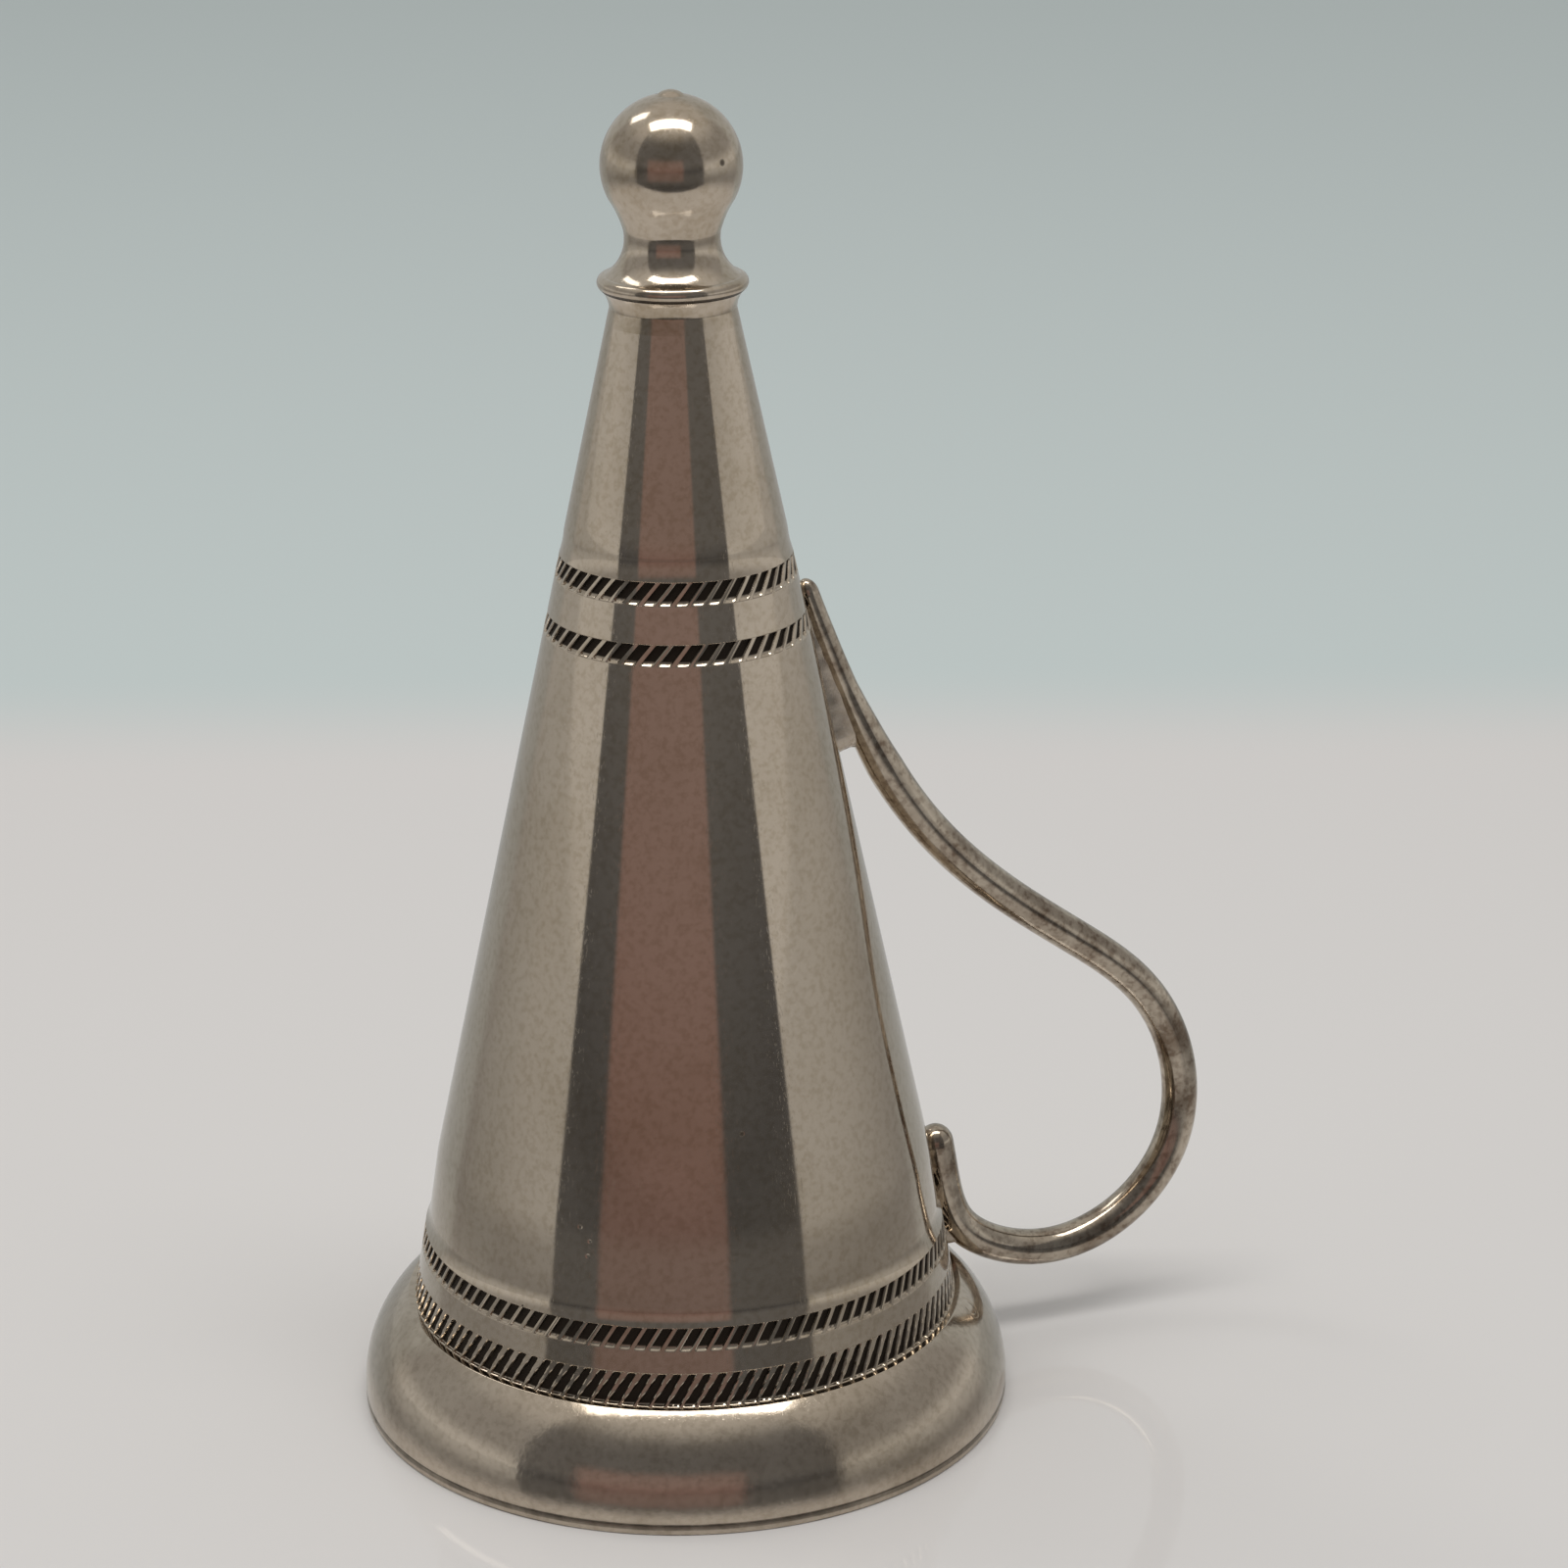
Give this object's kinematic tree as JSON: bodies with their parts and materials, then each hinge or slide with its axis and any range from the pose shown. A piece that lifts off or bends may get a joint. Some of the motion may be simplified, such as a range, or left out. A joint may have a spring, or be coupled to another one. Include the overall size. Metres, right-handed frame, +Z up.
{
  "type": "candle snuffer",
  "caption": "Hollow cone candle snuffer on a bulged skirt, with knurled bands, a ball finial and a scrolled wire handle; set over a lit candle it puts out the flame.",
  "frame": {"origin": "centre of the foot ring's underside, on the cone's axis", "axes": "+Z up along the cone's axis to the finial, +X from the axis towards the wire handle"},
  "size_m": [0.0494, 0.036, 0.073],
  "materials": {
    "sheet_silver": "polished silver with fine scratches and light tarnish, dark in the knurling",
    "cast_silver": "polished cast silver, tarnished in the neck and under the lip",
    "wire_silver": "drawn silver wire, worn bright on top, yellowed below",
    "silver_solder": "flowed silver solder, slightly rough and darker"
  },
  "bodies": {
    "root": {"finial_knob": "cast_silver", "cone_shell": "sheet_silver", "cone_seam": "silver_solder", "base_skirt": "sheet_silver", "foot_ring": "sheet_silver", "handle_wire": "wire_silver", "upper_handle_solder": "silver_solder", "lower_handle_solder": "silver_solder", "finial_solder": "silver_solder", "skirt_solder": "silver_solder", "foot_solder": "silver_solder"}
  },
  "joints": []
}
